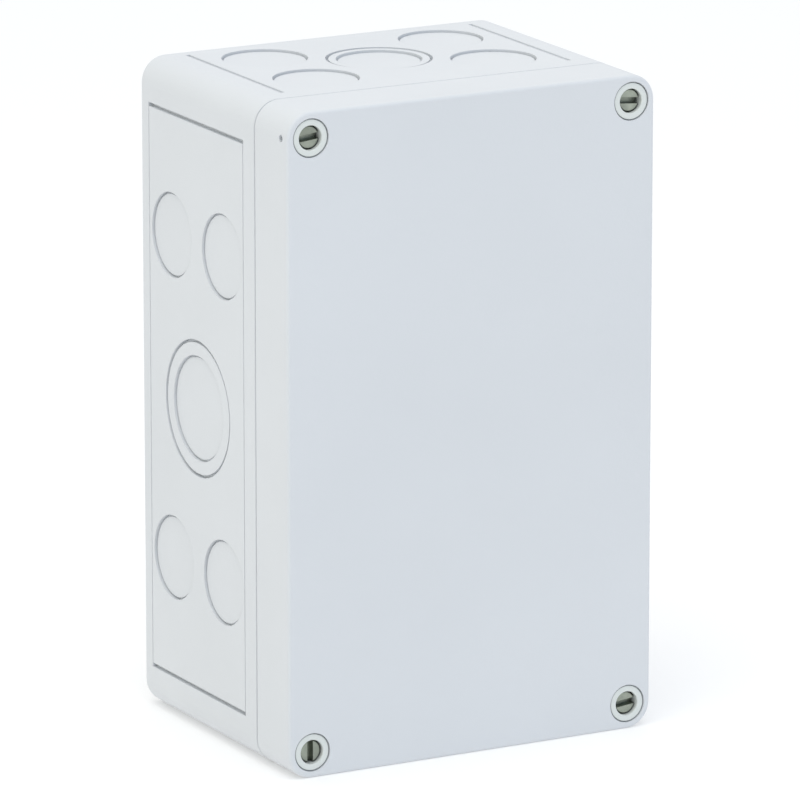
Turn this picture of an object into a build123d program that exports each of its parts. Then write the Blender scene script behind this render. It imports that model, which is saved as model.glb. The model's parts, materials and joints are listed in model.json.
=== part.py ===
"""Electrical junction box: screwed lid, knockout cable entries and terminals on a mounting rail.

Millimetres. X runs from left to right, Y from the lid's face to the wall behind the box and Z upwards.
The origin is the middle of the underside. A depth is measured from the lid's face towards the back.
"""
import os

from build123d import *

# Enclosure
WIDTH = 110.0
DEPTH = 85.0
HEIGHT = 180.0
CORNER_RADIUS = 7.0
LID_DEPTH = 18.6
LID_FRONT = 3.0
LID_EDGE_RADIUS = 0.9
FLOOR = 3.0
BACK_EDGE_RADIUS = 2.0
PARTING_CHAMFER = 0.15
PARTING_GAP = 0.6
PARTING_GAP_REACH = 0.8

# Lid seal: a gasket in the lid's channel and a tongue on the base, which both pass inside the screws
SEAL_INSET = 2.8
SEAL_ROUND_SCREW = 8.4
SEAL_BEND = 3.5
CORNER_CUT = 12.0
CHANNEL_WIDTH = 2.4
CHANNEL_DEPTH = 4.0
CHANNEL_RIB = 1.5
GASKET_SIDE_GAP = 0.1
GASKET_THICKNESS = 2.2
TONGUE_WIDTH = 1.2
TONGUE_HEIGHT = 1.7

# Lid screws, each in a plastic collar that is let into the lid
SCREW_INSET = 7.0
COLLAR_RADIUS = 5.0
COLLAR_BORE = 3.3
COLLAR_LENGTH = 9.0
COLLAR_SHOULDER = 6.6
COLLAR_SHANK_HOLE = 2.15
COLLAR_RECESS = 0.3
COLLAR_GAP = 0.25
COLLAR_GAP_DEPTH = 1.0
COLLAR_EDGE_RADIUS = 0.25
SCREW_RECESS = 1.4
SCREW_HEAD_RADIUS = 3.1
SCREW_HEAD_HEIGHT = 4.2
SCREW_SLOT_WIDTH = 1.7
SCREW_SLOT_DEPTH = 2.0
SCREW_SHANK_RADIUS = 2.0
SCREW_TIP = 28.0
SCREW_THREAD_START = 19.4
SCREW_THREAD_PITCH = 0.7
SCREW_THREAD_DEPTH = 0.35
SCREW_CHAMFER = 0.3
SCREW_SLOT_ANGLES = {"top_left": 6.0, "top_right": -5.0, "bottom_left": 90.0, "bottom_right": 6.0}
SLOT_CUT_LENGTH = 12.0
SEAL_RING_RADIUS = 3.1
SEAL_RING_BORE = 2.05
LID_SHANK_HOLE = 2.5
WIRE_HOLE_RADIUS = 0.95
WIRE_HOLE_DEPTH = 3.5

# Brass inserts in the base's corner columns
INSERT_RADIUS = 2.8
INSERT_BORE = 2.05
INSERT_LENGTH = 8.0
INSERT_GROOVE = 0.3
INSERT_GROOVE_PLACES = (2.0, 4.0, 6.0)
SCREW_CLEARANCE_RADIUS = 2.3
SCREW_CLEARANCE_DEPTH = 14.0

# Side panels: grooves border them, and fine ones close the border on the long sides
PANEL_START = 24.8
PANEL_END = 79.6
LONG_GROOVE_OFFSET = 77.9
LONG_GROOVE_WIDTH = 1.1
LONG_GROOVE_DEPTH = 1.3
FINE_GROOVE_WIDTH = 0.35
FINE_GROOVE_DEPTH = 0.22
SHORT_GROOVE_OFFSET = 43.2
SHORT_GROOVE_WIDTH = 1.1
SHORT_GROOVE_DEPTH = 0.6

# Knockouts: each blank hangs on a thin web at the bottom of its groove
WALL = 3.4
KNOCKOUT_SMALL = 11.6
KNOCKOUT_MEDIUM = 14.4
KNOCKOUT_LARGE = 18.75
KNOCKOUT_DEPTH = 51.7
KNOCKOUT_STAGGER = 14.65
KNOCKOUT_LONG_OFFSET = 44.6
KNOCKOUT_SHORT_OFFSET = 26.8
KNOCKOUT_GROOVE = 0.55
KNOCKOUT_STEP = 0.6
RING_GROOVE = 0.8
RING_STEP = 0.18
KNOCKOUT_WEB_TOP = 1.3
KNOCKOUT_WEB_BOTTOM = 1.9
KNOCKOUT_INNER_GROOVE = 0.6
KNOCKOUT_CUT = 6.0

# Wall fixing holes and their sealing plugs
FIXING_PITCH_X = 80.0
FIXING_PITCH_Z = 140.0
FIXING_HOLE_RADIUS = 2.25
FIXING_COUNTERBORE = 4.2
FIXING_BOSS_RADIUS = 6.0
BOSS_HEIGHT = 4.0
PLUG_STEM = 2.2
PLUG_FLANGE_RADIUS = 5.4
PLUG_FLANGE = 1.0

# Mounting rail, 35 mm wide and 7.5 mm high
RAIL_WIDTH = 35.0
RAIL_CHANNEL = 27.0
RAIL_HEIGHT = 7.5
RAIL_SHEET = 1.0
RAIL_LENGTH = 140.0
RAIL_BEND = 0.8
RAIL_SLOT_LENGTH = 15.0
RAIL_SLOT_WIDTH = 6.2
RAIL_SLOT_PITCH = 25.0
RAIL_SLOTS = 5
RAIL_SCREW_PITCH = 100.0
RAIL_BOSS_RADIUS = 5.0
RAIL_SCREW_RADIUS = 1.7
RAIL_SCREW_LENGTH = 5.0
RAIL_HOLE_DEPTH = 5.6
RAIL_HEAD_RADIUS = 4.0
RAIL_HEAD_HEIGHT = 2.4
RAIL_HEAD_ROUNDING = 0.8
RAIL_HEAD_SLOT_WIDTH = 1.2
RAIL_HEAD_SLOT_DEPTH = 1.2

# Terminals; a height is measured from the rail's front face towards the lid
TERMINAL_NAMES = ("earth_terminal", "neutral_terminal", "terminal_3", "terminal_2", "terminal_1")
TERMINAL_PITCH = 6.2
TERMINAL_THICKNESS = 6.15
TERMINAL_TOP = 33.0
TERMINAL_HALF_LENGTH = 21.5
POCKET_REACH = 4.9
CLAMP_OFFSET = 11.0
CLAMP_FROM_OPEN_SIDE = 2.5
CAGE_POCKET_WIDTH = 6.9
CAGE_POCKET_LOW = 10.7
CAGE_POCKET_HIGH = 25.0
SCREW_SHELF_TOP = 26.0
CLAMP_SHAFT_RADIUS = 2.1
CLAMP_SHELF_HOLE = 1.6
CLAMP_HEAD_RADIUS = 1.95
CLAMP_HEAD_HEIGHT = 1.8
CLAMP_HEAD_GAP = 0.05
CLAMP_SHANK_RADIUS = 1.45
CLAMP_SHANK_TIP = 17.6
CLAMP_THREAD_PITCH = 0.5
CLAMP_THREAD_DEPTH = 0.25
CLAMP_SLOT_WIDTH = 0.6
CLAMP_SLOT_DEPTH = 0.9
CLAMP_SLOT_TURN = 30.0
CAGE_LENGTH = 6.4
CAGE_WIDTH = 4.4
CAGE_WINDOW_WIDTH = 3.0
CAGE_BOTTOM = 11.0
CAGE_WINDOW_LOW = 12.2
CAGE_WINDOW_HIGH = 17.4
CAGE_TOP = 21.0
CAGE_BORE = 1.5
BAR_HALF_LENGTH = 15.0
BAR_LOW = 16.0
BAR_THICKNESS = 1.2
BAR_WIDTH = 2.6
BAR_SLOT_GAP = 0.15
ENTRY_RADIUS = 1.9
ENTRY_HEIGHT = 14.1
ENTRY_FUNNEL = 0.6
ENTRY_FUNNEL_DEPTH = 1.2
MARKER_LENGTH = 8.0
MARKER_WIDTH = 4.6
MARKER_DEPTH = 1.2
FOOT_GAP = 0.1
FOOT_HOOK = 1.6
FOOT_TAPER = 0.8
FOOT_LIP = 2.8
FOOT_BOTTOM = 2.2
FOOT_SLOPE_TOP = 2.0
FITTING_SLOPE = 5.5
TERMINAL_SHOULDER = 24.0
EARTH_FOOT_HALF_LENGTH = 17.3
EARTH_POST_HALF_LENGTH = 2.0
END_PLATE_THICKNESS = 1.5
END_STOP_THICKNESS = 8.5
END_STOP_TOP = 22.0
END_STOP_SHOULDER = 12.0
END_STOP_SCREW_RADIUS = 1.6
END_STOP_HEAD_RADIUS = 2.8
END_STOP_HEAD_HEIGHT = 2.0
END_STOP_SCREW_TIP = 2.0

# Worked-out places
SEAL_X = WIDTH / 2 - SEAL_INSET
SEAL_Z = HEIGHT / 2 - SEAL_INSET
SCREW_X = WIDTH / 2 - SCREW_INSET
SCREW_Z = HEIGHT / 2 - SCREW_INSET
SCREW_SPOTS = {
    "top_left": (-SCREW_X, SCREW_Z),
    "top_right": (SCREW_X, SCREW_Z),
    "bottom_left": (-SCREW_X, -SCREW_Z),
    "bottom_right": (SCREW_X, -SCREW_Z),
}
FLOOR_DEPTH = DEPTH - FLOOR
BOSS_DEPTH = FLOOR_DEPTH - BOSS_HEIGHT
KNOCKOUT_Y = KNOCKOUT_DEPTH - DEPTH / 2
RAIL_FRONT_DEPTH = BOSS_DEPTH - RAIL_HEIGHT
STACK_LENGTH = len(TERMINAL_NAMES) * TERMINAL_PITCH
STACK_BOTTOM = HEIGHT / 2 - STACK_LENGTH / 2


def depth_plane(depth, x=0.0, z=0.0):
    """Plane across the box at a depth, facing the front, centred on x and on z from mid-height."""
    return Plane(origin=(x, depth - DEPTH / 2, HEIGHT / 2 + z), x_dir=(1, 0, 0), z_dir=(0, -1, 0))


def rail_plane(z):
    """Plane across the rail at z, facing down; its Y is the height above the rail's front face."""
    return Plane(origin=(0, RAIL_FRONT_DEPTH - DEPTH / 2, z), x_dir=(1, 0, 0), z_dir=(0, 0, -1))


def finish(builder, name):
    """Label a finished piece and write it."""
    builder.part.label = name
    export_step(builder.part, f"parts/{name}.step")


def seal_outline(grow):
    """Outline that lies `grow` outside the seal's centre line, bent inwards around the corner screws."""
    with BuildSketch() as outline:
        Rectangle(2 * (SEAL_X + grow), 2 * (SEAL_Z + grow))
        with Locations(*SCREW_SPOTS.values()):
            Circle(SEAL_ROUND_SCREW - grow, mode=Mode.SUBTRACT)
        with GridLocations(2 * SCREW_X + CORNER_CUT, 2 * SCREW_Z + CORNER_CUT, 2, 2):
            Rectangle(CORNER_CUT, CORNER_CUT, mode=Mode.SUBTRACT)
        fillet(outline.vertices(), SEAL_BEND + grow)
    return outline.sketch


# The four sides: the plane of each face, its knockout spots and the radii of its knockouts
def side_spots(along, across_sign):
    """Places of the four single knockouts around the central one, as (across, along) on a long side."""
    return [
        (across_sign * (KNOCKOUT_Y + stagger), offset)
        for stagger in (-KNOCKOUT_STAGGER, KNOCKOUT_STAGGER)
        for offset in (-along, along)
    ]


def end_spots(along, across_sign):
    """The same for a short side, where the box's width is the sketch's X."""
    return [(offset, across) for across, offset in side_spots(along, across_sign)]


LEFT = Plane(origin=(-WIDTH / 2, 0, HEIGHT / 2), x_dir=(0, -1, 0), z_dir=(-1, 0, 0))
RIGHT = Plane(origin=(WIDTH / 2, 0, HEIGHT / 2), x_dir=(0, 1, 0), z_dir=(1, 0, 0))
TOP = Plane(origin=(0, 0, HEIGHT), x_dir=(1, 0, 0), z_dir=(0, 0, 1))
BOTTOM = Plane(origin=(0, 0, 0), x_dir=(1, 0, 0), z_dir=(0, 0, -1))
SIDES = {
    "left": (LEFT, side_spots(KNOCKOUT_LONG_OFFSET, -1), (-KNOCKOUT_Y, 0), KNOCKOUT_LARGE),
    "right": (RIGHT, side_spots(KNOCKOUT_LONG_OFFSET, 1), (KNOCKOUT_Y, 0), KNOCKOUT_LARGE),
    "top": (TOP, end_spots(KNOCKOUT_SHORT_OFFSET, 1), (0, KNOCKOUT_Y), KNOCKOUT_MEDIUM),
    "bottom": (BOTTOM, end_spots(KNOCKOUT_SHORT_OFFSET, -1), (0, -KNOCKOUT_Y), KNOCKOUT_MEDIUM),
}
CORE_RADIUS = {KNOCKOUT_LARGE: KNOCKOUT_MEDIUM, KNOCKOUT_MEDIUM: KNOCKOUT_SMALL}


def add_blanks(face, spots, radius, step, groove, bore=0.0):
    """Add knockout blanks to the part: face, web and back are three rounds of different radius."""
    layers = (
        (step, KNOCKOUT_WEB_TOP, radius - groove),
        (KNOCKOUT_WEB_TOP, KNOCKOUT_WEB_BOTTOM, radius),
        (KNOCKOUT_WEB_BOTTOM, WALL, radius - KNOCKOUT_INNER_GROOVE),
    )
    for start, end, layer_radius in layers:
        with BuildSketch(face.offset(-start)) as layer:
            with Locations(*spots):
                Circle(layer_radius)
                if bore:
                    Circle(bore, mode=Mode.SUBTRACT)
        extrude(layer.sketch, amount=start - end)


def cut_grooves(face, spots, size, depth):
    """Cut straight grooves of one size into a side of the box."""
    with BuildSketch(face) as grooves:
        with Locations(*spots):
            Rectangle(*size)
    extrude(grooves.sketch, amount=-depth, mode=Mode.SUBTRACT)


CHANNEL_OUTSIDE = seal_outline(CHANNEL_WIDTH / 2)
CHANNEL_INSIDE = seal_outline(-CHANNEL_WIDTH / 2)
GASKET_OUTSIDE = seal_outline(CHANNEL_WIDTH / 2 - GASKET_SIDE_GAP)
GASKET_INSIDE = seal_outline(GASKET_SIDE_GAP - CHANNEL_WIDTH / 2)
TONGUE_OUTSIDE = seal_outline(TONGUE_WIDTH / 2)
TONGUE_INSIDE = seal_outline(-TONGUE_WIDTH / 2)
LID_CAVITY = seal_outline(-CHANNEL_WIDTH / 2 - CHANNEL_RIB)

os.makedirs("parts", exist_ok=True)

# Base: a deep tray with four corner columns
with BuildPart() as base:
    with BuildSketch(depth_plane(LID_DEPTH)):
        RectangleRounded(WIDTH, HEIGHT, CORNER_RADIUS)
    extrude(amount=LID_DEPTH - DEPTH)
    fillet(base.faces().sort_by(Axis.Y)[-1].edges(), BACK_EDGE_RADIUS)
    chamfer(base.faces().sort_by(Axis.Y)[0].edges(), PARTING_CHAMFER)
    with BuildSketch(depth_plane(LID_DEPTH)):
        add(TONGUE_INSIDE)
    extrude(amount=LID_DEPTH - FLOOR_DEPTH, mode=Mode.SUBTRACT)
    with BuildSketch(depth_plane(LID_DEPTH)):
        add(TONGUE_OUTSIDE)
        add(TONGUE_INSIDE, mode=Mode.SUBTRACT)
    extrude(amount=TONGUE_HEIGHT)

    # Bosses on the floor, for the wall fixings and for the rail
    with BuildSketch(depth_plane(FLOOR_DEPTH)):
        with GridLocations(FIXING_PITCH_X, FIXING_PITCH_Z, 2, 2):
            Circle(FIXING_BOSS_RADIUS)
        with GridLocations(0, RAIL_SCREW_PITCH, 1, 2):
            Circle(RAIL_BOSS_RADIUS)
    extrude(amount=BOSS_HEIGHT)
    with BuildSketch(depth_plane(BOSS_DEPTH)):
        with GridLocations(FIXING_PITCH_X, FIXING_PITCH_Z, 2, 2):
            Circle(FIXING_COUNTERBORE)
    extrude(amount=-BOSS_HEIGHT, mode=Mode.SUBTRACT)
    with BuildSketch(depth_plane(FLOOR_DEPTH)):
        with GridLocations(FIXING_PITCH_X, FIXING_PITCH_Z, 2, 2):
            Circle(FIXING_HOLE_RADIUS)
    extrude(amount=-FLOOR, mode=Mode.SUBTRACT)
    with BuildSketch(depth_plane(BOSS_DEPTH)):
        with GridLocations(0, RAIL_SCREW_PITCH, 1, 2):
            Circle(RAIL_SCREW_RADIUS)
    extrude(amount=-RAIL_HOLE_DEPTH, mode=Mode.SUBTRACT)

    # Corner columns, bored for the brass inserts and for the ends of the lid screws
    for radius, reach in ((INSERT_RADIUS, INSERT_LENGTH), (SCREW_CLEARANCE_RADIUS, SCREW_CLEARANCE_DEPTH)):
        with BuildSketch(depth_plane(LID_DEPTH)):
            with Locations(*SCREW_SPOTS.values()):
                Circle(radius)
        extrude(amount=-reach, mode=Mode.SUBTRACT)

    # Grooves that border the side panels
    panel_y = (PANEL_START + PANEL_END - DEPTH) / 2
    panel_length = PANEL_END - PANEL_START
    fine_reach = (panel_length - FINE_GROOVE_WIDTH) / 2
    for face, across in ((LEFT, -panel_y), (RIGHT, panel_y)):
        rows = [(across, -LONG_GROOVE_OFFSET), (across, LONG_GROOVE_OFFSET)]
        cut_grooves(face, rows, (panel_length, LONG_GROOVE_WIDTH), LONG_GROOVE_DEPTH)
        columns = [(across - fine_reach, 0), (across + fine_reach, 0)]
        cut_grooves(face, columns, (FINE_GROOVE_WIDTH, 2 * LONG_GROOVE_OFFSET), FINE_GROOVE_DEPTH)
    for face, across in ((TOP, panel_y), (BOTTOM, -panel_y)):
        columns = [(-SHORT_GROOVE_OFFSET, across), (SHORT_GROOVE_OFFSET, across)]
        cut_grooves(face, columns, (SHORT_GROOVE_WIDTH, panel_length), SHORT_GROOVE_DEPTH)

    # Openings that the knockout blanks close
    for face, spots, middle, large in SIDES.values():
        with BuildSketch(face):
            with Locations(*spots):
                Circle(KNOCKOUT_SMALL)
            with Locations(middle):
                Circle(large)
        extrude(amount=-KNOCKOUT_CUT, mode=Mode.SUBTRACT)
finish(base, "base")

# Knockout blanks: four singles and a core inside a ring on each side
for side, (face, spots, middle, large) in SIDES.items():
    core = CORE_RADIUS[large]
    with BuildPart() as blanks:
        add_blanks(face, spots, KNOCKOUT_SMALL, KNOCKOUT_STEP, KNOCKOUT_GROOVE)
        add_blanks(face, [middle], core, KNOCKOUT_STEP + RING_STEP, KNOCKOUT_GROOVE)
    finish(blanks, f"{side}_knockouts")
    with BuildPart() as ring:
        add_blanks(face, [middle], large, RING_STEP, RING_GROOVE, bore=core)
    finish(ring, f"{side}_knockout_ring")

# Lid: a shallow tray with a plain face, a seal channel in its rim and a well for each screw collar
with BuildPart() as lid:
    with BuildSketch(depth_plane(0)):
        RectangleRounded(WIDTH, HEIGHT, CORNER_RADIUS)
    extrude(amount=-LID_DEPTH)
    fillet(lid.faces().sort_by(Axis.Y)[0].edges(), LID_EDGE_RADIUS)
    with BuildSketch(depth_plane(LID_DEPTH)):
        RectangleRounded(WIDTH, HEIGHT, CORNER_RADIUS)
        RectangleRounded(
            WIDTH - 2 * PARTING_GAP_REACH,
            HEIGHT - 2 * PARTING_GAP_REACH,
            CORNER_RADIUS - PARTING_GAP_REACH,
            mode=Mode.SUBTRACT,
        )
    extrude(amount=PARTING_GAP, mode=Mode.SUBTRACT)
    with BuildSketch(depth_plane(LID_FRONT)):
        add(LID_CAVITY)
    extrude(amount=LID_FRONT - LID_DEPTH, mode=Mode.SUBTRACT)
    with BuildSketch(depth_plane(LID_DEPTH - CHANNEL_DEPTH)):
        add(CHANNEL_OUTSIDE)
        add(CHANNEL_INSIDE, mode=Mode.SUBTRACT)
    extrude(amount=-CHANNEL_DEPTH, mode=Mode.SUBTRACT)
    wells = (
        (COLLAR_RADIUS, COLLAR_LENGTH),
        (COLLAR_RADIUS + COLLAR_GAP, COLLAR_GAP_DEPTH),
        (LID_SHANK_HOLE, LID_DEPTH),
    )
    for radius, reach in wells:
        with BuildSketch(depth_plane(0)):
            with Locations(*SCREW_SPOTS.values()):
                Circle(radius)
        extrude(amount=-reach, mode=Mode.SUBTRACT)

    # Holes for a sealing wire, at two opposite corners
    for face, across, height in (
        (LEFT, DEPTH / 2 - WIRE_HOLE_DEPTH, SCREW_Z),
        (RIGHT, WIRE_HOLE_DEPTH - DEPTH / 2, -SCREW_Z),
    ):
        with BuildSketch(face):
            with Locations((across, height)):
                Circle(WIRE_HOLE_RADIUS)
        extrude(amount=-SCREW_INSET, mode=Mode.SUBTRACT)
finish(lid, "lid")

with BuildPart() as lid_gasket:
    with BuildSketch(depth_plane(LID_DEPTH - CHANNEL_DEPTH)):
        add(GASKET_OUTSIDE)
        add(GASKET_INSIDE, mode=Mode.SUBTRACT)
    extrude(amount=-GASKET_THICKNESS)
finish(lid_gasket, "lid_gasket")

# Screw collars: a bush with a shoulder for the screw's sealing ring
with BuildPart() as lid_screw_collars:
    with BuildSketch(depth_plane(COLLAR_RECESS)):
        with Locations(*SCREW_SPOTS.values()):
            Circle(COLLAR_RADIUS)
            Circle(COLLAR_BORE, mode=Mode.SUBTRACT)
    extrude(amount=COLLAR_RECESS - COLLAR_SHOULDER)
    front_faces = lid_screw_collars.faces().filter_by(Axis.Y).group_by(Axis.Y)[0]
    fillet(front_faces.edges(), COLLAR_EDGE_RADIUS)
    with BuildSketch(depth_plane(COLLAR_SHOULDER)):
        with Locations(*SCREW_SPOTS.values()):
            Circle(COLLAR_RADIUS)
            Circle(COLLAR_SHANK_HOLE, mode=Mode.SUBTRACT)
    extrude(amount=COLLAR_SHOULDER - COLLAR_LENGTH)
finish(lid_screw_collars, "lid_screw_collars")

with BuildPart() as threaded_inserts:
    with BuildSketch(depth_plane(LID_DEPTH)):
        with Locations(*SCREW_SPOTS.values()):
            Circle(INSERT_RADIUS)
            Circle(INSERT_BORE, mode=Mode.SUBTRACT)
    extrude(amount=-INSERT_LENGTH)
    for reach in INSERT_GROOVE_PLACES:
        with BuildSketch(depth_plane(LID_DEPTH + reach)):
            with Locations(*SCREW_SPOTS.values()):
                Circle(INSERT_RADIUS)
                Circle(INSERT_RADIUS - INSERT_GROOVE, mode=Mode.SUBTRACT)
        extrude(amount=INSERT_GROOVE, both=True, mode=Mode.SUBTRACT)
finish(threaded_inserts, "threaded_inserts")

# Lid screws, with ring grooves for their threads, and the sealing ring under each head
head_underside = SCREW_RECESS + SCREW_HEAD_HEIGHT
thread_turns = int((SCREW_TIP - SCREW_THREAD_START) / SCREW_THREAD_PITCH) - 1
for corner, (x, z) in SCREW_SPOTS.items():
    with BuildPart() as lid_screw:
        with BuildSketch(depth_plane(SCREW_RECESS, x, z)):
            Circle(SCREW_HEAD_RADIUS)
        extrude(amount=-SCREW_HEAD_HEIGHT)
        chamfer(lid_screw.faces().sort_by(Axis.Y)[0].edges(), SCREW_CHAMFER)
        with BuildSketch(depth_plane(SCREW_RECESS, x, z)):
            Rectangle(SLOT_CUT_LENGTH, SCREW_SLOT_WIDTH, rotation=SCREW_SLOT_ANGLES[corner])
        extrude(amount=-SCREW_SLOT_DEPTH, mode=Mode.SUBTRACT)
        with BuildSketch(depth_plane(head_underside, x, z)):
            Circle(SCREW_SHANK_RADIUS)
        extrude(amount=head_underside - SCREW_TIP)
        chamfer(lid_screw.faces().sort_by(Axis.Y)[-1].edges(), SCREW_CHAMFER)
        for turn in range(thread_turns):
            with BuildSketch(depth_plane(SCREW_THREAD_START + turn * SCREW_THREAD_PITCH, x, z)):
                Circle(SCREW_SHANK_RADIUS + SCREW_THREAD_DEPTH)
                Circle(SCREW_SHANK_RADIUS - SCREW_THREAD_DEPTH, mode=Mode.SUBTRACT)
            extrude(amount=-SCREW_THREAD_PITCH / 2, mode=Mode.SUBTRACT)
    finish(lid_screw, f"lid_screw_{corner}")
    with BuildPart() as screw_seal:
        with BuildSketch(depth_plane(head_underside, x, z)):
            Circle(SEAL_RING_RADIUS)
            Circle(SEAL_RING_BORE, mode=Mode.SUBTRACT)
        extrude(amount=head_underside - COLLAR_SHOULDER)
    finish(screw_seal, f"screw_seal_{corner}")

# Plugs that close the wall fixings after the box is fastened
with BuildPart() as fixing_plugs:
    with BuildSketch(depth_plane(BOSS_DEPTH)):
        with GridLocations(FIXING_PITCH_X, FIXING_PITCH_Z, 2, 2):
            Circle(FIXING_COUNTERBORE)
    extrude(amount=-PLUG_STEM)
    with BuildSketch(depth_plane(BOSS_DEPTH)):
        with GridLocations(FIXING_PITCH_X, FIXING_PITCH_Z, 2, 2):
            Circle(PLUG_FLANGE_RADIUS)
    extrude(amount=PLUG_FLANGE)
finish(fixing_plugs, "fixing_plugs")

# Mounting rail: a hat section with slots, on two bosses
with BuildPart() as din_rail:
    with BuildSketch(rail_plane(HEIGHT / 2 + RAIL_LENGTH / 2)) as section:
        with Locations((0, -RAIL_SHEET / 2)):
            Rectangle(RAIL_WIDTH, RAIL_SHEET)
        with Locations((0, -RAIL_HEIGHT / 2)):
            Rectangle(RAIL_CHANNEL, RAIL_HEIGHT)
        with Locations((0, -(RAIL_HEIGHT - RAIL_SHEET) / 2)):
            Rectangle(RAIL_CHANNEL - 2 * RAIL_SHEET, RAIL_HEIGHT - RAIL_SHEET, mode=Mode.SUBTRACT)
        bends = section.vertices().filter_by(lambda v: abs(v.X) < RAIL_WIDTH / 2 - RAIL_SHEET)
        fillet(bends, RAIL_BEND)
    extrude(amount=RAIL_LENGTH)
    with BuildSketch(depth_plane(BOSS_DEPTH)):
        with GridLocations(0, RAIL_SLOT_PITCH, 1, RAIL_SLOTS):
            SlotOverall(RAIL_SLOT_LENGTH, RAIL_SLOT_WIDTH, rotation=90)
    extrude(amount=RAIL_SHEET, mode=Mode.SUBTRACT)
finish(din_rail, "din_rail")

with BuildPart() as rail_screws:
    with BuildSketch(depth_plane(BOSS_DEPTH - RAIL_SHEET)):
        with GridLocations(0, RAIL_SCREW_PITCH, 1, 2):
            Circle(RAIL_SCREW_RADIUS)
    extrude(amount=-RAIL_SCREW_LENGTH)
    with BuildSketch(depth_plane(BOSS_DEPTH - RAIL_SHEET)):
        with GridLocations(0, RAIL_SCREW_PITCH, 1, 2):
            Circle(RAIL_HEAD_RADIUS)
    extrude(amount=RAIL_HEAD_HEIGHT)
    fillet(rail_screws.faces().sort_by(Axis.Y)[:2].edges(), RAIL_HEAD_ROUNDING)
    with BuildSketch(depth_plane(BOSS_DEPTH - RAIL_SHEET - RAIL_HEAD_HEIGHT)):
        with GridLocations(0, RAIL_SCREW_PITCH, 1, 2):
            Rectangle(SLOT_CUT_LENGTH, RAIL_HEAD_SLOT_WIDTH)
    extrude(amount=-RAIL_HEAD_SLOT_DEPTH, mode=Mode.SUBTRACT)
finish(rail_screws, "rail_screws")


def rail_fitting(top, shoulder):
    """Outline of a piece that snaps over the rail: `top` high, with sloped sides above `shoulder`."""
    half = TERMINAL_HALF_LENGTH
    lip = RAIL_WIDTH / 2 + 2 * FOOT_GAP
    right = [
        (lip, FOOT_GAP),
        (lip, -RAIL_SHEET - FOOT_GAP),
        (lip - FOOT_HOOK, -RAIL_SHEET - FOOT_GAP),
        (lip - FOOT_TAPER, -RAIL_SHEET - FOOT_BOTTOM),
        (lip + FOOT_LIP, -RAIL_SHEET - FOOT_BOTTOM),
        (half, FOOT_SLOPE_TOP),
        (half, shoulder),
        (half - FITTING_SLOPE, top),
    ]
    left = [(-x, height) for x, height in reversed(right)]
    with BuildSketch() as outline:
        with BuildLine():
            Polyline(*right, *left, close=True)
        make_face()
    return outline.sketch


TERMINAL_OUTLINE = rail_fitting(TERMINAL_TOP, TERMINAL_SHOULDER)
END_STOP_OUTLINE = rail_fitting(END_STOP_TOP, END_STOP_SHOULDER)
CLAMP_SIDES = {"left": -CLAMP_OFFSET, "right": CLAMP_OFFSET}


def height_plane(height, x, z):
    """Plane at a height above the rail's front face, facing the lid, centred on x and on absolute z."""
    return depth_plane(RAIL_FRONT_DEPTH - height, x, z - HEIGHT / 2)


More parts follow.
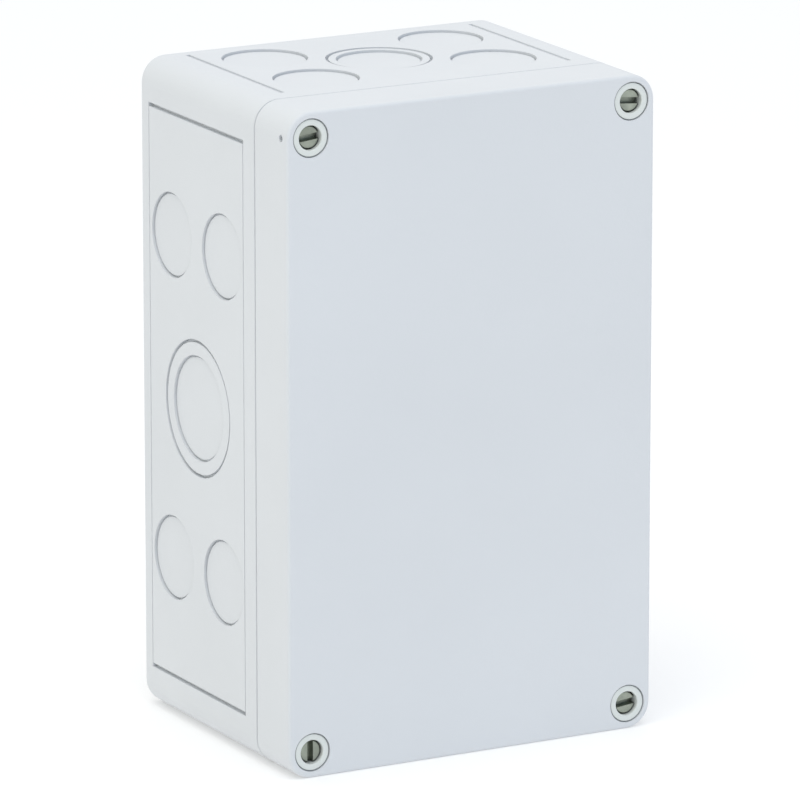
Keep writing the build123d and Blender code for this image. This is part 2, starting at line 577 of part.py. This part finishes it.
for index, name in enumerate(TERMINAL_NAMES):
    open_side = STACK_BOTTOM + (index + 1) * TERMINAL_PITCH
    clamp_z = open_side - CLAMP_FROM_OPEN_SIDE
    with BuildPart() as housing:
        with BuildSketch(rail_plane(open_side)):
            add(TERMINAL_OUTLINE)
        extrude(amount=TERMINAL_THICKNESS)
        with BuildSketch(rail_plane(open_side)):
            with Locations(*[(x, (CAGE_POCKET_LOW + CAGE_POCKET_HIGH) / 2) for x in CLAMP_SIDES.values()]):
                Rectangle(CAGE_POCKET_WIDTH, CAGE_POCKET_HIGH - CAGE_POCKET_LOW)
            with Locations((0, BAR_LOW + BAR_THICKNESS / 2)):
                Rectangle(2 * (BAR_HALF_LENGTH + BAR_SLOT_GAP), BAR_THICKNESS + 2 * BAR_SLOT_GAP)
            if name == "earth_terminal":
                with Locations((0, BAR_LOW / 2)):
                    Rectangle(2 * (EARTH_POST_HALF_LENGTH + BAR_SLOT_GAP), BAR_LOW)
                with Locations((0, BAR_THICKNESS / 2)):
                    Rectangle(2 * (EARTH_FOOT_HALF_LENGTH + BAR_SLOT_GAP), BAR_THICKNESS + 2 * BAR_SLOT_GAP)
        extrude(amount=POCKET_REACH, mode=Mode.SUBTRACT)
        for x in CLAMP_SIDES.values():
            with BuildSketch(height_plane(TERMINAL_TOP, x, clamp_z)):
                Circle(CLAMP_SHAFT_RADIUS)
            extrude(amount=SCREW_SHELF_TOP - TERMINAL_TOP, mode=Mode.SUBTRACT)
            with BuildSketch(height_plane(SCREW_SHELF_TOP, x, clamp_z)):
                Circle(CLAMP_SHELF_HOLE)
            extrude(amount=CAGE_POCKET_HIGH - SCREW_SHELF_TOP, mode=Mode.SUBTRACT)
        entry_y = RAIL_FRONT_DEPTH - ENTRY_HEIGHT - DEPTH / 2
        for direction in (-1, 1):
            entry = Plane(
                origin=(direction * TERMINAL_HALF_LENGTH, entry_y, clamp_z),
                x_dir=(0, 1, 0),
                z_dir=(direction, 0, 0),
            )
            with BuildSketch(entry):
                Circle(ENTRY_RADIUS)
            extrude(amount=CLAMP_OFFSET - TERMINAL_HALF_LENGTH, mode=Mode.SUBTRACT)
            with BuildSketch(entry):
                Circle(ENTRY_RADIUS + ENTRY_FUNNEL)
            with BuildSketch(entry.offset(-ENTRY_FUNNEL_DEPTH)):
                Circle(ENTRY_RADIUS)
            loft(mode=Mode.SUBTRACT)
        with BuildSketch(height_plane(TERMINAL_TOP, 0, clamp_z)):
            Rectangle(MARKER_LENGTH, MARKER_WIDTH)
        extrude(amount=-MARKER_DEPTH, mode=Mode.SUBTRACT)
    finish(housing, f"{name}_housing")

    for side, x in CLAMP_SIDES.items():
        with BuildPart() as cage:
            with BuildSketch(height_plane(CAGE_BOTTOM, x, clamp_z)):
                Rectangle(CAGE_LENGTH, CAGE_WIDTH)
            extrude(amount=CAGE_TOP - CAGE_BOTTOM)
            with BuildSketch(height_plane(CAGE_WINDOW_LOW, x, clamp_z)):
                Rectangle(CAGE_LENGTH, CAGE_WINDOW_WIDTH)
            extrude(amount=CAGE_WINDOW_HIGH - CAGE_WINDOW_LOW, mode=Mode.SUBTRACT)
            with BuildSketch(height_plane(CAGE_TOP, x, clamp_z)):
                Circle(CAGE_BORE)
            extrude(amount=CAGE_WINDOW_HIGH - CAGE_TOP, mode=Mode.SUBTRACT)
        finish(cage, f"{name}_{side}_cage")

        head_bottom = SCREW_SHELF_TOP + CLAMP_HEAD_GAP
        with BuildPart() as clamp_screw:
            with BuildSketch(height_plane(head_bottom, x, clamp_z)):
                Circle(CLAMP_HEAD_RADIUS)
            extrude(amount=CLAMP_HEAD_HEIGHT)
            with BuildSketch(height_plane(head_bottom + CLAMP_HEAD_HEIGHT, x, clamp_z)):
                Rectangle(SLOT_CUT_LENGTH, CLAMP_SLOT_WIDTH, rotation=CLAMP_SLOT_TURN * index)
            extrude(amount=-CLAMP_SLOT_DEPTH, mode=Mode.SUBTRACT)
            with BuildSketch(height_plane(head_bottom, x, clamp_z)):
                Circle(CLAMP_SHANK_RADIUS)
            extrude(amount=CLAMP_SHANK_TIP - head_bottom)
            turns = int((CAGE_POCKET_HIGH - CLAMP_SHANK_TIP) / CLAMP_THREAD_PITCH) - 1
            for turn in range(1, turns):
                height = CLAMP_SHANK_TIP + turn * CLAMP_THREAD_PITCH
                with BuildSketch(height_plane(height, x, clamp_z)):
                    Circle(CLAMP_SHANK_RADIUS + CLAMP_THREAD_DEPTH)
                    Circle(CLAMP_SHANK_RADIUS - CLAMP_THREAD_DEPTH, mode=Mode.SUBTRACT)
                extrude(amount=CLAMP_THREAD_PITCH / 2, mode=Mode.SUBTRACT)
        finish(clamp_screw, f"{name}_{side}_screw")

# Current bars, one through the two cages of each terminal
with BuildPart() as current_bars:
    for index in range(len(TERMINAL_NAMES)):
        clamp_z = STACK_BOTTOM + (index + 1) * TERMINAL_PITCH - CLAMP_FROM_OPEN_SIDE
        with BuildSketch(rail_plane(clamp_z + BAR_WIDTH / 2)):
            with Locations((0, BAR_LOW + BAR_THICKNESS / 2)):
                Rectangle(2 * BAR_HALF_LENGTH, BAR_THICKNESS)
        extrude(amount=BAR_WIDTH)
finish(current_bars, "current_bars")

# Foot that joins the earth terminal's bar to the rail
with BuildPart() as earth_foot:
    earth_z = STACK_BOTTOM + TERMINAL_PITCH - CLAMP_FROM_OPEN_SIDE
    with BuildSketch(rail_plane(earth_z + BAR_WIDTH / 2)):
        with Locations((0, BAR_THICKNESS / 2)):
            Rectangle(2 * EARTH_FOOT_HALF_LENGTH, BAR_THICKNESS)
        with Locations((0, BAR_LOW / 2)):
            Rectangle(2 * EARTH_POST_HALF_LENGTH, BAR_LOW)
    extrude(amount=BAR_WIDTH)
finish(earth_foot, "earth_foot")

# End plate over the open side of the topmost terminal, and an end stop at each end of the stack
stack_top = STACK_BOTTOM + STACK_LENGTH
plate_top = stack_top + END_PLATE_THICKNESS
with BuildPart() as end_plate:
    with BuildSketch(rail_plane(plate_top)):
        add(TERMINAL_OUTLINE)
    extrude(amount=END_PLATE_THICKNESS - FOOT_GAP)
finish(end_plate, "end_plate")

for name, top_z in (("lower_end_stop", STACK_BOTTOM), ("upper_end_stop", plate_top + END_STOP_THICKNESS)):
    centre_z = top_z - END_STOP_THICKNESS / 2
    with BuildPart() as end_stop:
        with BuildSketch(rail_plane(top_z - FOOT_GAP / 2)):
            add(END_STOP_OUTLINE)
        extrude(amount=END_STOP_THICKNESS - FOOT_GAP)
        with BuildSketch(height_plane(END_STOP_TOP, 0, centre_z)):
            Circle(END_STOP_SCREW_RADIUS)
        extrude(amount=-END_STOP_TOP, mode=Mode.SUBTRACT)
        with BuildSketch(height_plane(END_STOP_TOP, 0, centre_z)):
            Circle(END_STOP_HEAD_RADIUS + FOOT_GAP)
        extrude(amount=-END_STOP_HEAD_HEIGHT, mode=Mode.SUBTRACT)
    finish(end_stop, name)

with BuildPart() as end_stop_screws:
    for top_z in (STACK_BOTTOM, plate_top + END_STOP_THICKNESS):
        centre_z = top_z - END_STOP_THICKNESS / 2
        seat = END_STOP_TOP - END_STOP_HEAD_HEIGHT
        with BuildSketch(height_plane(seat, 0, centre_z)):
            Circle(END_STOP_HEAD_RADIUS)
        extrude(amount=END_STOP_HEAD_HEIGHT)
        with BuildSketch(height_plane(END_STOP_TOP, 0, centre_z)):
            Rectangle(SLOT_CUT_LENGTH, CLAMP_SLOT_WIDTH)
        extrude(amount=-CLAMP_SLOT_DEPTH, mode=Mode.SUBTRACT)
        with BuildSketch(height_plane(seat, 0, centre_z)):
            Circle(END_STOP_SCREW_RADIUS - FOOT_GAP)
        extrude(amount=END_STOP_SCREW_TIP - seat)
finish(end_stop_screws, "end_stop_screws")
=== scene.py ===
"""Looks of the electrical junction box: materials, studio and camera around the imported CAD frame."""
import json
import math

import bpy
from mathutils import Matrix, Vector


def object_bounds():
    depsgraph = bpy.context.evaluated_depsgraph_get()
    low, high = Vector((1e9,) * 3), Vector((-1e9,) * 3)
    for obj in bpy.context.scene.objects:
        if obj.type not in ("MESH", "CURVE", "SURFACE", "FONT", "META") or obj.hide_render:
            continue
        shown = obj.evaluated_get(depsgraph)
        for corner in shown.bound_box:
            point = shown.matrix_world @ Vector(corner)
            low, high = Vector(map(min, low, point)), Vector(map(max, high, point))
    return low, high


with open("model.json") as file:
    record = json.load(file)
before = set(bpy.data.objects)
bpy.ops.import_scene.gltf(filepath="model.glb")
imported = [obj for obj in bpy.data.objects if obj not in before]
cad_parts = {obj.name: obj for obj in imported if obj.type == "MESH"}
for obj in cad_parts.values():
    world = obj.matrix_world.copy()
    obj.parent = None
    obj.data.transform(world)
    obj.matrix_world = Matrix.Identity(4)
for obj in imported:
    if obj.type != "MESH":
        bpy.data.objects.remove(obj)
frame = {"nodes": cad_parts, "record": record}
cad_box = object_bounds()
lo, hi = cad_box
MM = 0.001

# Socket numbers of a Mix node in colour mode.
MIX_FACTOR, MIX_FIRST, MIX_SECOND, MIX_RESULT = 0, 6, 7, 2

# Radii that soften the sharp edges of the CAD bodies.
PLASTIC_EDGE = 0.2 * MM
METAL_EDGE = 0.1 * MM

# How far into a narrow gap the painted shade in the plastic and metal colours reaches.
PLASTIC_SHADE_REACH = 1.5 * MM
METAL_SHADE_REACH = 1.6 * MM

# Noise scales, in cycles per metre.
FLOW_SCALE = 14
SHEEN_SCALE = 90
FINE_GRAIN_SCALE = 2600
COARSE_GRAIN_SCALE = 700
TOOL_MARK_SCALE = 900
FILM_SCALE = 160
PORE_SCALE = 3000
MOTTLE_SCALE = 60

# Bump heights of the fine surface textures.
PLASTIC_GRAIN = 0.02 * MM
METAL_MARKS = 0.01 * MM
RUBBER_PORES = 0.04 * MM

# Edges that turn by more than this stay sharp.
SMOOTH_ANGLE = math.radians(28)

# Light of the surroundings, and what it turns to at the front and on the left.
WORLD_LIGHT = (0.890, 0.898, 0.905)
WORLD_FRONT = (0.405, 0.500, 0.630)
WORLD_LEFT = (0.745, 0.750, 0.685)

# Soft box overhead, in metres and watts.
LAMP_PLACE = (-0.5, -0.7, 2.2)
LAMP_SIZE = 1.8
LAMP_POWER = 20.5

# Studio floor, in metres.
FLOOR_HALF_WIDTH = 8.0
FLOOR_DARK = (0.75, 0.75, 0.75)
FLOOR_LIGHT = (0.77, 0.77, 0.77)
FLOOR_GLOW = 0.26

# Camera: place in metres from the foot of the lid's face, angles in degrees, lens and sensor in mm.
CAMERA_PLACE = (-1.0031, -1.8061, 0.6200)
CAMERA_AZIMUTH = 28.518
CAMERA_TILT = 14.2
CAMERA_LENS = 363.0
CAMERA_SENSOR = 36.0
CAMERA_CLIP = (0.05, 50.0)


def map_range(tree, value, start, end, low, high):
    """Map a value from start..end to low..high."""
    node = tree.nodes.new("ShaderNodeMapRange")
    node.inputs["From Min"].default_value = start
    node.inputs["From Max"].default_value = end
    node.inputs["To Min"].default_value = low
    node.inputs["To Max"].default_value = high
    tree.links.new(value, node.inputs["Value"])
    return node.outputs["Result"]


def mix_colours(tree, factor, first, second, blend="MIX"):
    """Mix two colours, each a triple or a socket."""
    node = tree.nodes.new("ShaderNodeMix")
    node.data_type = "RGBA"
    node.blend_type = blend
    tree.links.new(factor, node.inputs[MIX_FACTOR])
    for value, number in ((first, MIX_FIRST), (second, MIX_SECOND)):
        if isinstance(value, tuple):
            node.inputs[number].default_value = (*value, 1.0)
        else:
            tree.links.new(value, node.inputs[number])
    return node.outputs[MIX_RESULT]


def shade(colour, factor):
    """The colour times a factor."""
    return tuple(channel * factor for channel in colour)


class Nodes:
    """A material's node tree with short calls for the few kinds of node used here."""

    def __init__(self, name, specular=0.5, metallic=0.0):
        self.material = bpy.data.materials.new(name)
        self.material.use_nodes = True
        self.tree = self.material.node_tree
        self.shader = self.tree.nodes["Principled BSDF"]
        self.shader.inputs["Specular IOR Level"].default_value = specular
        self.shader.inputs["Metallic"].default_value = metallic
        self.place = self.tree.nodes.new("ShaderNodeTexCoord").outputs["Object"]

    def link(self, source, target):
        self.tree.links.new(source, target)

    def noise(self, scale, detail=2.0, stretch=None):
        """Noise in object space; stretch multiplies the scale along each axis."""
        node = self.tree.nodes.new("ShaderNodeTexNoise")
        node.inputs["Scale"].default_value = scale
        node.inputs["Detail"].default_value = detail
        source = self.place
        if stretch:
            mapping = self.tree.nodes.new("ShaderNodeMapping")
            mapping.inputs["Scale"].default_value = stretch
            self.link(source, mapping.inputs["Vector"])
            source = mapping.outputs["Vector"]
        self.link(source, node.inputs["Vector"])
        return node.outputs["Fac"]

    def between(self, factor, low, high, start=0.3, end=0.7):
        """Map a factor from start..end, by default the usual reach of noise, to low..high."""
        return map_range(self.tree, factor, start, end, low, high)

    def near_middle(self, half_width, blur):
        """1 within half_width of the object's middle plane X = 0, falling to 0 over the blur."""
        parts = self.tree.nodes.new("ShaderNodeSeparateXYZ")
        self.link(self.place, parts.inputs["Vector"])
        distance = self.tree.nodes.new("ShaderNodeMath")
        distance.operation = "ABSOLUTE"
        self.link(parts.outputs["X"], distance.inputs[0])
        return self.between(distance.outputs["Value"], 1, 0, half_width, half_width + blur)

    def crevice(self, reach):
        """1 in the open and lower in narrow gaps, for the shade painted into the colour there."""
        node = self.tree.nodes.new("ShaderNodeAmbientOcclusion")
        node.samples = 8
        node.inputs["Distance"].default_value = reach
        return node.outputs["AO"]

    def mix(self, factor, first, second, blend="MIX"):
        return mix_colours(self.tree, factor, first, second, blend)

    def add(self, first, second):
        node = self.tree.nodes.new("ShaderNodeMath")
        node.operation = "ADD"
        self.link(first, node.inputs[0])
        self.link(second, node.inputs[1])
        return node.outputs["Value"]

    def colour(self, socket):
        self.link(socket, self.shader.inputs["Base Color"])

    def roughness(self, socket):
        self.link(socket, self.shader.inputs["Roughness"])

    def bump(self, height, distance, edge=0.0):
        """Surface texture from a height, over edges that are softened by a small radius."""
        node = self.tree.nodes.new("ShaderNodeBump")
        node.inputs["Distance"].default_value = distance
        self.link(height, node.inputs["Height"])
        if edge:
            soft = self.tree.nodes.new("ShaderNodeBevel")
            soft.samples = 4
            soft.inputs["Radius"].default_value = edge
            self.link(soft.outputs["Normal"], node.inputs["Normal"])
        self.link(node.outputs["Normal"], self.shader.inputs["Normal"])


def moulded_plastic(name, colour, rough=0.5, grain=PLASTIC_GRAIN, gap_shade=0.98, band=None):
    """Moulded plastic: fine spark-eroded grain, faint flow shading and painted shade that darkens the
    colour in the crevices.

    The band, if any, is a colour and a half width of a stripe along the object's middle.
    """
    nodes = Nodes(name, specular=0.4)
    flow = nodes.between(nodes.noise(FLOW_SCALE, 3), 0, 1)
    body = nodes.mix(flow, shade(colour, 0.985), shade(colour, 1.015))
    if band:
        band_colour, half_width = band
        body = nodes.mix(nodes.near_middle(half_width, 0.1 * MM), body, band_colour)
    # Painted shade: the colour is multiplied darker in narrow gaps and crevices, where shade falls.
    painted_shade_mask = nodes.between(nodes.crevice(PLASTIC_SHADE_REACH), 1, 0, 0.2, 0.8)
    nodes.colour(nodes.mix(painted_shade_mask, body, (gap_shade, gap_shade, gap_shade), "MULTIPLY"))
    nodes.roughness(nodes.between(nodes.noise(SHEEN_SCALE, 4), rough - 0.06, rough + 0.06))
    height = nodes.add(nodes.noise(FINE_GRAIN_SCALE), nodes.noise(COARSE_GRAIN_SCALE))
    nodes.bump(height, grain, PLASTIC_EDGE)
    return nodes.material


def metal(name, colour, rough=0.3, brushed=None, dark=0.6, recess_shade=1.0):
    """Plated or turned metal with fine tool marks, a darker film in places and painted shade that darkens
    its recesses.

    brushed stretches the tool marks; dark is how much of the colour the film leaves, and the last argument
    how much the painted shade in the recesses leaves.
    """
    nodes = Nodes(name, metallic=1.0)
    marks = nodes.noise(TOOL_MARK_SCALE, 3, brushed)
    film = nodes.between(nodes.noise(FILM_SCALE, 3), 0, 1, 0.35, 0.7)
    body = nodes.mix(film, shade(colour, dark), colour)
    if recess_shade < 1.0:
        # Painted shade: the colour is darkened in the recesses, where shade falls.
        unshaded_mask = nodes.between(nodes.crevice(METAL_SHADE_REACH), 0, 1, 0.35, 0.75)
        body = nodes.mix(unshaded_mask, shade(colour, recess_shade), body)
    nodes.colour(body)
    nodes.roughness(nodes.between(marks, rough - 0.08, rough + 0.12))
    nodes.bump(marks, METAL_MARKS, METAL_EDGE)
    return nodes.material


def rubber(name, colour):
    """Matt elastomer with a fine pore texture."""
    nodes = Nodes(name, specular=0.25)
    mottle = nodes.between(nodes.noise(MOTTLE_SCALE, 3), 0, 1)
    nodes.colour(nodes.mix(mottle, shade(colour, 0.8), shade(colour, 1.2)))
    pores = nodes.noise(PORE_SCALE, 3)
    nodes.roughness(nodes.between(pores, 0.75, 0.95))
    nodes.bump(pores, RUBBER_PORES)
    return nodes.material


def make_materials():
    """One material for each material slot of the record."""
    fine, finer, polished = 0.01 * MM, 0.006 * MM, 0.004 * MM
    yellow_band = ((0.72, 0.56, 0.04), 8 * MM)
    return {
        "shell": moulded_plastic("shell_plastic", (0.715, 0.735, 0.760)),
        # Strong painted shade in the collar's gap around it and in its bore.
        "collar": moulded_plastic("collar_plastic", (0.735, 0.765, 0.74), 0.35, polished, gap_shade=0.5),
        "plug": moulded_plastic("plug_plastic", (0.60, 0.63, 0.66), 0.45, finer),
        "terminal_grey": moulded_plastic("terminal_polyamide", (0.20, 0.21, 0.215), 0.4, fine),
        "neutral_blue": moulded_plastic("neutral_polyamide", (0.02, 0.09, 0.36), 0.4, fine),
        "earth_green": moulded_plastic("earth_polyamide", (0.03, 0.22, 0.05), 0.4, fine, band=yellow_band),
        "end_stop_grey": moulded_plastic("end_stop_polyamide", (0.11, 0.115, 0.12), 0.42, fine),
        "seal_foam": rubber("gasket_foam", (0.03, 0.03, 0.033)),
        "seal_rubber": rubber("seal_rubber", (0.015, 0.015, 0.015)),
        "brass": metal("insert_brass", (0.72, 0.50, 0.20)),
        # Strong painted shade in the slots and recesses of the screw heads.
        "screw_steel": metal("screw_zinc", (0.43, 0.465, 0.39), 0.4, dark=0.7, recess_shade=0.4),
        "zinc_steel": metal("rail_zinc", (0.62, 0.64, 0.66), 0.32, brushed=(1, 1, 0.04), dark=0.85),
        "plated_steel": metal("clamp_nickel", (0.62, 0.60, 0.56)),
        "tinned_copper": metal("bar_tin", (0.70, 0.68, 0.64), 0.35, brushed=(0.05, 1, 1)),
    }


def dress_nodes():
    """Give every CAD node the material of its slot, shaded smooth between its sharp edges."""
    materials = make_materials()
    slots = {part["node"]: part["material_slot"] for part in frame["record"]["subparts"]}
    for name, node in frame["nodes"].items():
        node.data.materials.clear()
        node.data.materials.append(materials[slots[name]])
        node.data.shade_smooth()
        node.data.set_sharp_from_angle(angle=SMOOTH_ANGLE)


def build_floor():
    """Pale studio floor under the box."""
    size = FLOOR_HALF_WIDTH
    mesh = bpy.data.meshes.new("studio_floor")
    corners = [(-size, -size, 0), (size, -size, 0), (size, size, 0), (-size, size, 0)]
    mesh.from_pydata(corners, [], [(0, 1, 2, 3)])
    floor = bpy.data.objects.new("studio_floor", mesh)
    bpy.context.scene.collection.objects.link(floor)
    nodes = Nodes("studio_floor", specular=0.1)
    nodes.colour(nodes.mix(nodes.noise(3), FLOOR_DARK, FLOOR_LIGHT))
    nodes.roughness(nodes.between(nodes.noise(40), 0.75, 0.85))
    nodes.shader.inputs["Emission Color"].default_value = (1.0, 1.0, 1.0, 1.0)
    nodes.shader.inputs["Emission Strength"].default_value = FLOOR_GLOW
    mesh.materials.append(nodes.material)


def build_world():
    """White surroundings, cooler and dimmer towards the front and dimmer to the left."""
    world = bpy.data.worlds.new("studio")
    world.use_nodes = True
    tree = world.node_tree
    direction = tree.nodes.new("ShaderNodeTexCoord").outputs["Generated"]
    parts = tree.nodes.new("ShaderNodeSeparateXYZ")
    tree.links.new(direction, parts.inputs["Vector"])
    light = WORLD_LIGHT
    for axis, tint in (("Y", WORLD_FRONT), ("X", WORLD_LEFT)):
        towards = map_range(tree, parts.outputs[axis], 0.0, -1.0, 0.0, 1.0)
        light = mix_colours(tree, towards, light, tint)
    tree.links.new(light, tree.nodes["Background"].inputs["Color"])
    bpy.context.scene.world = world


def place_in_scene(name, data, location, forward):
    """Put a light or camera in the scene, looking along forward."""
    thing = bpy.data.objects.new(name, data)
    thing.location = location
    thing.rotation_euler = forward.to_track_quat("-Z", "Y").to_euler()
    bpy.context.scene.collection.objects.link(thing)
    return thing


def build_lamp():
    """Square soft box above the front left, aimed at the middle of the box."""
    data = bpy.data.lights.new("overhead", "AREA")
    data.shape = "SQUARE"
    data.size = LAMP_SIZE
    data.energy = LAMP_POWER
    place_in_scene("overhead", data, LAMP_PLACE, (lo + hi) / 2 - Vector(LAMP_PLACE))


def build_camera():
    """Long lens to the left of the box and above it."""
    data = bpy.data.cameras.new("camera")
    data.sensor_width = CAMERA_SENSOR
    data.lens = CAMERA_LENS
    data.clip_start, data.clip_end = CAMERA_CLIP
    azimuth, tilt = math.radians(CAMERA_AZIMUTH), math.radians(CAMERA_TILT)
    forward = Vector((
        math.sin(azimuth) * math.cos(tilt),
        math.cos(azimuth) * math.cos(tilt),
        -math.sin(tilt),
    ))
    x, y, z = CAMERA_PLACE
    bpy.context.scene.camera = place_in_scene("camera", data, (x, y + lo.y, z), forward)


dress_nodes()
build_floor()
build_world()
build_lamp()
build_camera()
bpy.context.scene.view_settings.view_transform = "Standard"
